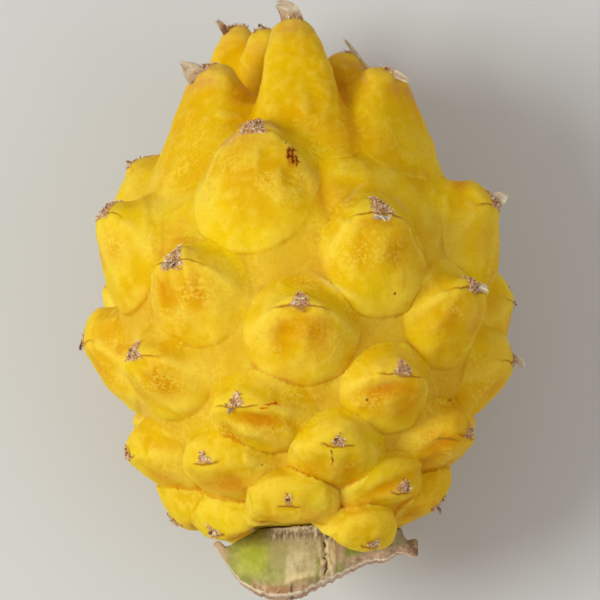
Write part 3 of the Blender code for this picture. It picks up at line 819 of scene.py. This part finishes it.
# Scatters small bent blades over a triangular patch at each seat, standing on the skin.
def tuftTree():
    bench, given = newTree("tufts", {
        "Skin": "Object", "Density": "Float", "Length": "Float", "Width": "Float", "Thickness": "Float",
        "Curl": "Float", "Spread": "Float", "Seed": "Int", "Material": "Material"})
    patch = bench.add("GeometryNodeMeshCircle", {"fill_type": "NGON"}, {"Vertices": 3, "Radius": 1.0})
    patch = bench.add("GeometryNodeTransform", {}, {"Geometry": patch, "Rotation": (0, 0, math.pi / 2)})
    facing = bench.field("facing", "FLOAT_VECTOR")
    upward = bench.field("upward", "FLOAT_VECTOR")
    turn = bench.add("FunctionNodeAxesToRotation", {"primary_axis": "Z", "secondary_axis": "Y"},
                     {"Primary Axis": facing, "Secondary Axis": upward})
    size = bench.field("size")
    patches = bench.add("GeometryNodeInstanceOnPoints", {}, {
        "Points": given["Geometry"], "Instance": patch, "Rotation": turn,
        "Scale": bench.vector(size * 0.95, size * bench.field("rise"), size)})
    roots = bench.add("GeometryNodeDistributePointsOnFaces", {}, {
        "Mesh": bench.realize(patches), "Density": given["Density"], "Seed": given["Seed"]})
    skin = bench.meshOf(given["Skin"])
    near = bench.add("GeometryNodeProximity", {"target_element": "FACES"}, {"Geometry": skin})
    roots = bench.move(roots, near)
    chance = bench.chance((-1, -1, -1), (1, 1, 1), given["Seed"], "FLOAT_VECTOR")
    stand = facing * (1 - given["Spread"]) + chance * given["Spread"] + facing * 0.35
    lie = bench.add("FunctionNodeAxesToRotation", {"primary_axis": "Y", "secondary_axis": "Z"},
                    {"Primary Axis": stand, "Secondary Axis": facing})
    roots = bench.store(roots, "tone", bench.chance(0.0, 1.0, 5))
    blade = bench.add("GeometryNodeMeshCube", {}, {
        "Size": bench.vector(given["Width"], given["Length"], given["Thickness"]),
        "Vertices X": 2, "Vertices Y": 4, "Vertices Z": 2})
    x, y, z = bench.position().parts()
    run = y / given["Length"] + 0.5
    bent = bench.vector(x * (1.15 - run * run * 0.9), run * given["Length"],
                        z - run * run * given["Length"] * given["Curl"])
    grow = bench.chance(0.45, 1.15, 9)
    tufts = bench.add("GeometryNodeInstanceOnPoints", {}, {
        "Points": roots, "Instance": bench.move(blade, bent), "Rotation": lie,
        "Scale": bench.vector(grow, grow, grow)})
    closeTree(bench, tufts, given["Material"])
    return bench


driedLook = {"dark": tint(120, 66, 46), "tan": tint(204, 150, 108), "cream": tint(240, 222, 190)}


def driedMaterial():
    material, bench = newMaterial("driedScale")
    tone = bench.read("tone")
    mottle = bench.noise(bench.objectPlace(), 1100.0, 3.0, 0.6)
    mixed = (tone * 0.75 + mottle * 0.5 - 0.12).least(0).most(1)
    colour = bench.add("ShaderNodeValToRGB", {"stops": [
        (0.05, driedLook["dark"]), (0.36, driedLook["tan"]), (0.8, driedLook["cream"])]}, {"Fac": mixed})
    normal = bench.add("ShaderNodeBump", {}, {"Strength": 0.5, "Distance": 0.0001, "Height": mottle})
    closeMaterial(bench, {"Base Color": colour, "Roughness": 0.7 + mottle * 0.2, "Normal": normal})
    return material


def makeTufts(name, values, seats, material):
    tufts = newObject(name, seats)
    addTree(tufts, tuftTree(), {**values, "Skin": fruitSkin, "Material": material})
    bakeObject(tufts)
    print("  " + name + ":", len(tufts.data.polygons), "faces")
    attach(tufts, "root")


dried = driedMaterial()
seats = areoleSeats(fruitSkin)
makeTufts("areoleWool", areoles["hairs"], seats, dried)
makeTufts("areoleFlakes", areoles["flakes"], seats.copy(), dried)

print("dried scales")
# In mm and degrees. A scale leaves its tubercle's line by its bend, to a side (0 up, 90 right), with its
# blade rolled and its foot sunk in the skin. Straight runs from 0, a full bow, to 1.
driedScales = {
    "columns": ("length", "width", "bend", "side", "roll", "pale", "across", "above", "sunk", "straight"),
    "own": {
        -3: (1.6, 1.8, 50, -150, 0, 0.4, 0, 0, 1.3, 0), -1: (4.4, 4.5, 66, -95, 70, 0.6, -0.2, 0, 2.0, 0),
        0: (2.6, 1.5, 58, 110, 60, 0.5, 2.2, 0, 1.1, 0.5),
        1: (7.8, 1.2, 48, -55, 60, 0.85, 2.4, -4.0, 0.8, 0.85),
        2: (3.4, 4.6, 36, 215, 70, 0.62, 0.1, -2.0, 3.0, 0.3),
        4: (5.0, 1.7, 94, 170, 60, 0.6, -1.6, 0.4, 0.3, 0.8),
        5: (1.5, 2.4, 50, 180, 0, 0.2, 0, 0, 1.3), 9: (2.6, 3.0, 30, 100, 40, 0.9, 0, 0, 1.3),
        12: (3.6, 3.3, 100, 180, 0, 1.0, -0.4, -1.8, 0.6, 0.0), 14: (1.4, 2.2, 70, 180, 0, 0.4, 0, 0, 1.3),
        15: (1.6, 3.4, 110, 180, 0, 0.95, -0.8, -1.2, 0.8),
        17: (2.6, 2.6, 80, 160, 30, 0.95, 0.4, -0.6, 1.0),
        18: (1.6, 2.4, 84, 180, 0, 0.3, 0, 0, 1.3), 22: (3.2, 4.2, 88, 180, 35, 1.0, -1.2, -0.2, 0.8),
        28: (1.5, 1.2, 100, 200, 0, 1.0, -0.9, -1.0, 0.8),
        43: (1.5, 2.0, 40, 180, 0, 0.2, 0, 0, 1.3), 46: (1.8, 2.0, 80, 20, 30, 0.75, -0.4, 0, 1.0)},
    # the limits of length, width, bend, side and pale for the others
    "any": ((0.6, 1.1), (1.0, 1.8), (35, 80), (-70, 70), (0.2, 0.8)),
    "thickness": 0.28, "along": 12, "across": 8, "seed": 7,
}


# Papery and grey, streaked, with a brown foot.
def scaleMaterial():
    material, bench = newMaterial("paperyScale")
    tone, foot = bench.read("tone"), bench.read("foot")
    mottle = bench.noise(bench.objectPlace(), 700.0, 3.0, 0.65, 0.6)
    mixed = (tone * 0.6 + mottle * 1.1 - 0.36 - foot * 0.8).least(0).most(1)
    colour = bench.add("ShaderNodeValToRGB", {"stops": [
        (0.05, tint(112, 72, 48)), (0.34, tint(176, 146, 116)), (0.62, tint(196, 180, 158)),
        (0.9, tint(222, 213, 198))]}, {"Fac": mixed})
    normal = bench.add("ShaderNodeBump", {}, {"Strength": 0.6, "Distance": 0.00012, "Height": mottle})
    closeMaterial(bench, {"Base Color": colour, "Roughness": 0.65 + mottle * 0.2, "Normal": normal})
    return material


# A bent, cupped blade with a frayed end, closed all round, as points and faces.
def scaleShape(base, heading, bend, row, chance):
    square = heading.cross(bend).normalized()
    roll, length, width = math.radians(row["roll"]), row["length"] + row["sunk"], row["width"]
    rows, columns, thick = driedScales["along"], driedScales["across"], driedScales["thickness"]
    fray = [chance.uniform(-0.14, 0.12) for _ in range(columns + 1)]
    cup = chance.uniform(0.12, 0.3)
    top, under = [], []
    for i in range(rows + 1):
        s = i / rows
        along = heading.lerp(bend, min(1, s * 1.15)).normalized()
        across = square * math.cos(roll) + along.cross(square) * math.sin(roll)
        flat = across.cross(along).normalized()
        spread = width / 2 * (0.86 + 0.34 * s - 0.95 * s**3)
        for j in range(columns + 1):
            t = 2 * j / columns - 1
            run = s * (1 + fray[j] * s)
            centre = base + heading * (length * run * (1 - run / 2)) + bend * (length * run * run / 2)
            wrinkle = math.sin(t * 5 + s * 3 + row["length"] * 9) * 0.07 * width * s
            point = centre + across * (t * spread) - flat * (cup * spread * t * t * (0.3 + s) + wrinkle)
            half = flat * (thick / 2 * (1 - 0.5 * s) * (1 - 0.6 * t * t))
            top.append(point + half)
            under.append(point - half)
    count = columns + 1
    faces = []
    for i in range(rows):
        for j in range(columns):
            a = i * count + j
            b = a + len(top)
            faces.append((a, a + 1, a + count + 1, a + count))
            faces.append((b, b + count, b + count + 1, b + 1))
    rim = [*range(count), *(i * count + columns for i in range(1, rows + 1)),
           *(rows * count + j for j in range(columns - 1, -1, -1)),
           *(i * count for i in range(rows - 1, 0, -1))]
    for a, b in zip(rim, rim[1:] + rim[:1]):
        faces.append((a, a + len(top), b + len(top), b))
    return top + under, faces


def makeScales():
    chance = random.Random(driedScales["seed"])
    tree = BVHTree.FromObject(fruitSkin, bpy.context.evaluated_depsgraph_get())
    points, faces, tones, feet = [], [], [], []
    for tip in tips:
        length, width, bend, side, pale = (chance.uniform(*limits) for limits in driedScales["any"])
        own = (length, width, bend, side, 0, pale, 0, 0, 1.3)
        own = driedScales["own"].get(tip["number"], own)
        row = {"straight": 0, **dict(zip(driedScales["columns"], own))}
        bend, side = math.radians(row["bend"]), math.radians(row["side"])
        heading, up, right, peak = axesOf(tip)
        if peak.z < 5:  # under the fruit, where it would be crushed
            continue
        away = up * math.cos(side) + right * math.sin(side)
        bent = heading * math.cos(bend) + away * math.sin(bend)
        over = peak + right * row["across"] + up * row["above"] + heading * 6  # 6 mm over the tip
        base = (tree.ray_cast(over * mm, -heading)[0] or peak * mm) / mm - heading * row["sunk"]
        more, their = scaleShape(base, heading.lerp(bent, row["straight"]).normalized(), bent, row, chance)
        feet += [max(0, 1 - (point - base).length / (max(0, row["sunk"]) + 1.6)) for point in more]
        faces += [[n + len(points) for n in face] for face in their]
        points += [point * mm for point in more]
        tones += [row["pale"]] * len(more)
    mesh = bpy.data.meshes.new("driedScales")
    mesh.from_pydata(points, [], faces)
    storeColumn(mesh, "tone", tones)
    storeColumn(mesh, "foot", feet)
    mesh.shade_smooth()
    mesh.set_sharp_from_angle(angle=math.radians(60))
    mesh.materials.append(scaleMaterial())
    made = newObject("driedScales", mesh)
    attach(made, "root")


makeScales()

print("slice of stem")
stemForm = {
    # x: top height, cut height, half thickness, in mm
    "stations": [
        (-15.5, 0.1, -0.3, 0.3), (-14.6, 0.5, -1.5, 0.8), (-13.2, -0.5, -3.6, 2.2), (-11, 0.6, -6.7, 3.6),
        (-9.2, 1.6, -8.1, 4.3), (-6, 3.5, -9.7, 5.0), (-2.5, 4.8, -9.9, 5.8), (0.4, 5.4, -9.4, 6.2),
        (1.4, 5.5, -8.7, 6.2), (4.3, 5.2, -7.3, 5.9), (9.3, 4.8, -4.8, 4.8), (12.4, 4.6, -3.4, 4.1),
        (15.1, 5.2, -3.2, 3.5), (16.8, 5.4, -2.1, 2.8), (17.8, 3.2, -1.8, 2.0), (18.8, 0.9, -1.9, 1.4),
        (19.9, 0.8, -2.4, 1.1), (20.6, 0.9, -2.5, 0.8), (21.0, 0.5, -2.1, 0.5)],
    "steps": 210, "around": 128, "gap": 0.35,
    # the corky patch's left and right side, its ragged lower edge, and how far it stands out
    "cork": (-1.5, 3.6, -7.0, 0.3),
    # the cracked ridges beside it: place, half width and height
    "ridges": [(3.9, 0.3, 0.45), (5.0, 0.2, 0.35), (5.6, 0.2, 0.25)],
}


# smooth random relief between about -1 and 1
def rough(place):
    return noise.noise(Vector(place))


# How far the stem's front stands out at a point, over the plain loft.
def stemRelief(x, y):
    wander = rough((x * 0.4, y * 0.35, 2))
    left, right, low, proud = stemForm["cork"]
    ragged = rough((x * 1.4, y * 1.4, 5)) * 0.7
    cork = ease(left - 0.3, left + 0.3, x + wander) * ease(right + 0.4, right - 0.2, x + wander * 0.5)
    relief = proud * cork * ease(low - 0.25, low + 0.25, y + ragged)
    for place, half, tall in stemForm["ridges"]:
        line = x - place - wander * 0.9 - 0.5 * rough((place, y * 0.9, 4))
        broken = 0.5 + 1.2 * rough((x, y * 1.6, 8))
        relief += tall * bump(line, half) * ease(-7.4, -6.0, y) * broken
    crack = x - 4.5 - wander * 0.9 - 0.5 * rough((4, y * 1.4, 4))
    relief -= 0.5 * bump(crack, 0.16) * ease(-7.0, -5.8, y)
    # frayed fibres stand out under the fruit
    frayed = 0.7 + 0.9 * rough((x * 2.1, 0, 12)) + 0.5 * rough((x * 6, 0, 12))
    frayed = frayed * ease(-0.6, 1.4, y) + 1.3 * ease(0.8, 2.2, y)
    relief += 1.1 * frayed * ease(-6.5, -4.5, x) * ease(8.0, 6.0, x)
    # the green side swells, the right wing is hollow under a curled edge
    relief += 0.7 * bump(x + 8, 4.5) * bump(y + 3, 4)
    relief -= 0.8 * bump(x - 13, 4) * bump(y - 0.5, 2.2)
    relief += 0.35 * ease(10, 13, x) * rough((x * 0.9, y * 2.4, 15))
    relief += 0.12 * rough((x * 1.1, y * 1.1, 1)) + 0.05 * rough((x * 4, y * 4, 3))  # a rough rind
    return relief


def stemMaterial():
    material, bench = newMaterial("stemSlice")
    place = bench.objectPlace()
    cut, lip, near, relief = (bench.read(name) for name in ("cut", "lip", "near", "relief"))
    x, y, z = ((place / mm) - tuple(seat)).parts()
    wobble = (bench.noise(place, 240.0, 3.0) - 0.5) * 3
    drift = (bench.noise(place, 130.0, 3.0, 0.6) - 0.5) * 5
    mottle = bench.noise(place, 420.0, 3.0, 0.6)
    fine = bench.noise(place, 1300.0, 3.0, 0.6)
    fibre = bench.noise(bench.vector(x * 0.0024, y * 0.0004, z * 0.0012), 900.0, 3.0, 0.6)
    low = y + wobble * 0.6 - x * 0.25

    def inside(value, low, high, soft=0.8):
        return value.step(low - soft, low + soft) * value.step(high + soft, high - soft)

    def paint(under, layers):
        for mask, shade, strength in layers:
            under = bench.mix((mask * strength).least(0).most(1), under, shade)
        return under

    # the green flank, a painted highlight on its swelling, and the browner zones to its right
    flankHighlight = ((x + 8.2 + wobble * 0.7).bell(3.6) * (y + 3.2 + wobble * 0.5).bell(3.4)).step(0.1, 0.9)
    wing = (x + wobble * 0.4).step(9.8, 11.8)
    strip = ((y - x * 0.24 + 5.6 + wobble * 0.25).step(1.3, -0.3)) * (x + wobble * 0.3).step(7.0, 9.0)
    veil = inside(x + drift * 0.6, -5.6, -1.2, 1.3) * (y + wobble).step(-6.6, -3.4)
    colour = paint(bench.mix(mottle.step(0.3, 0.7), tint(138, 138, 62), tint(170, 164, 92)), [
        (flankHighlight, tint(168, 174, 34), 0.85),
        (flankHighlight * mottle.step(0.45, 0.75), tint(190, 188, 70), 0.7),
        ((low + 7.5).step(0.8, -1.0), tint(170, 146, 100), 0.7),
        (inside(x + wobble * 0.5, -6.5, -1.6) * (y + wobble * 0.6).step(-2.0, 2.5), tint(156, 138, 100), 0.8),
        (inside(x + wobble * 0.4, 5.6, 8.2, 0.5) * (y + wobble * 0.5).step(-5.0, -3.6),
         tint(178, 152, 116), 1.0),
        (inside(x + wobble * 0.4, 8.0, 10.8, 0.5) * inside(y + wobble * 0.4, -3.4, 1.2),
         tint(126, 136, 42), 0.9),
        (wing, tint(158, 146, 108), 1.0),
        (wing * mottle.step(0.42, 0.62), tint(112, 100, 66), 0.6),
        (strip, tint(196, 162, 134), 0.95),
        (strip * fine.step(0.5, 0.66), tint(140, 102, 76), 0.7),
        ((x + wobble * 0.5).step(18.6, 20.0) * mottle.step(0.35, 0.6), tint(104, 70, 48), 0.8),
        ((x - 11.0 + wobble * 0.2).bell(0.3) * inside(y, -1.8, 0.4, 0.3), tint(228, 210, 176), 1.0),
        (veil, tint(172, 158, 110), 0.65)])
    # the corky patch
    cork = inside(x + drift - y * 0.12, -1.8, 3.7, 0.45) * low.step(-7.4, -6.9)
    corkShade = bench.mix(mottle.step(0.3, 0.7), tint(170, 154, 108), tint(206, 190, 146))
    corkShade = bench.mix(fibre.step(0.45, 0.6) * y.step(-3.0, 1.0) * 0.7, corkShade, tint(150, 120, 84))
    corkShade = bench.mix(fine.step(0.6, 0.75) * 0.5, corkShade, tint(228, 214, 178))
    corkShade = bench.mix(low.step(-5.6, -6.8) * 0.8, corkShade, tint(222, 198, 144))
    colour = bench.mix(cork, colour, corkShade)
    # the cracked ridges beside it, the frayed band and collar under the fruit, and the dried left end
    ridged = inside(x + wobble * 0.3, 3.5, 6.1, 0.3) * (y + wobble * 0.4).step(-7.6, -6.6)
    band = (y + wobble * 0.7).step(-0.9, 0.6) * inside(x + wobble * 0.6, -5.6, 6.9)
    collar = (y + wobble * 0.4).step(0.9, 1.7) * inside(x, -5.0, 5.6)
    colour = paint(colour, [
        (ridged, tint(204, 180, 134), 1.0),
        (ridged * fibre.step(0.5, 0.62), tint(236, 218, 178), 0.8),
        (relief.step(0.0, -0.3) * ridged, tint(92, 62, 34), 0.85),
        (band, tint(124, 96, 66), 0.75),
        (band * fibre.step(0.5, 0.6), tint(214, 194, 156), 0.9),
        (collar * fine.step(0.35, 0.55), tint(228, 208, 174), 0.85),
        ((x + 13.2 + wobble * 0.3).step(0.8, -0.6), tint(188, 158, 128), 1.0)])
    # the dried cut, the skin just above it, and the curled lip
    tan = bench.mix(mottle.step(0.35, 0.65), tint(176, 122, 88), tint(214, 184, 146))
    colour = bench.mix(near * inside(x + wobble, -9.0, 1.6) * 0.85, colour, tan)
    colour = paint(colour, [
        (near * fibre.step(0.56, 0.66) * inside(x, -9.0, 1.6), tint(120, 66, 42), 0.7),
        (near * (x + 1.5 + wobble * 0.3).bell(0.25), tint(60, 34, 24), 0.9)])
    colour = paint(bench.mix(cut, colour, tan), [
        (cut * (x + 1.5).bell(0.35), tint(70, 40, 26), 0.9),
        (lip.step(0.2, 0.6) * fine.step(0.25, 0.5), tint(232, 216, 188), 0.9)])
    normal = bench.add("ShaderNodeBump", {}, {
        "Strength": 0.7, "Distance": 0.0003, "Height": mottle * 0.4 + fine * 0.4 + fibre * 0.5})
    closeMaterial(bench, {"Base Color": colour, "Roughness": 0.55 + fine * 0.25, "Normal": normal})
    return material


def makeStem():
    steps, around = stemForm["steps"], stemForm["around"]
    first, last = stemForm["stations"][0][0], stemForm["stations"][-1][0]
    points, values = [], {"cut": [], "lip": [], "near": [], "relief": []}
    for i in range(steps + 1):
        x = first + (last - first) * (1 - math.cos(math.pi * i / steps)) / 2
        top, cut, half = blendStations(stemForm["stations"], x)
        cut += 0.35 * rough((x * 1.3, 0, 6)) + 0.12 * rough((x * 5, 0, 6))
        for k in range(around):
            angle = 2 * math.pi * k / around
            rise = math.copysign(abs(math.sin(angle)) ** 0.7, math.sin(angle))
            out = math.copysign(abs(math.cos(angle)) ** 0.6, math.cos(angle))
            height = (top + cut) / 2 + rise * (top - cut) / 2
            relief = stemRelief(x, height) * ease(0.0, 0.5, out)
            # the dried edge of the cut curls out a little
            curl = 0.8 + 0.5 * rough((x * 0.9, 0, 9))
            lip = bump(rise + 0.95, 0.035) * ease(0.15, 0.45, out) * curl
            depth = out * half * (1 - 0.26 * rise) + relief * min(1, half / 3) + 0.35 * lip * min(1, half / 3)
            points.append((Vector((x, height - 0.2 * lip, depth - 0.5)) + seat) * mm)
            values["cut"].append(ease(-0.94, -0.985, rise) if rise < 0 else 0)
            values["lip"].append(lip)
            values["near"].append(ease(-0.6, -0.86, rise))
            values["relief"].append(relief)
    faces = [(i * around + k, i * around + (k + 1) % around, (i + 1) * around + (k + 1) % around,
              (i + 1) * around + k) for i in range(steps) for k in range(around)]
    faces += [tuple(range(around))[::-1], tuple(range(steps * around, (steps + 1) * around))]
    mesh = bpy.data.meshes.new("stemSlice")
    mesh.from_pydata(points, [], faces)
    for name, column in values.items():
        storeColumn(mesh, name, column)
    tree = BVHTree.FromObject(fruitSkin, bpy.context.evaluated_depsgraph_get())
    gap = stemForm["gap"] * mm
    for _ in range(8):  # pushed out of the fruit until it clears it everywhere
        for v in mesh.vertices:
            near, normal, _, distance = tree.find_nearest(v.co)
            if distance < gap or (v.co - near).dot(normal) < 0:
                v.co = near + normal * gap
    mesh.shade_smooth()
    mesh.materials.append(stemMaterial())
    made = newObject("stemSlice", mesh)
    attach(made, "root")
    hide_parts("stem_stub")


makeStem()
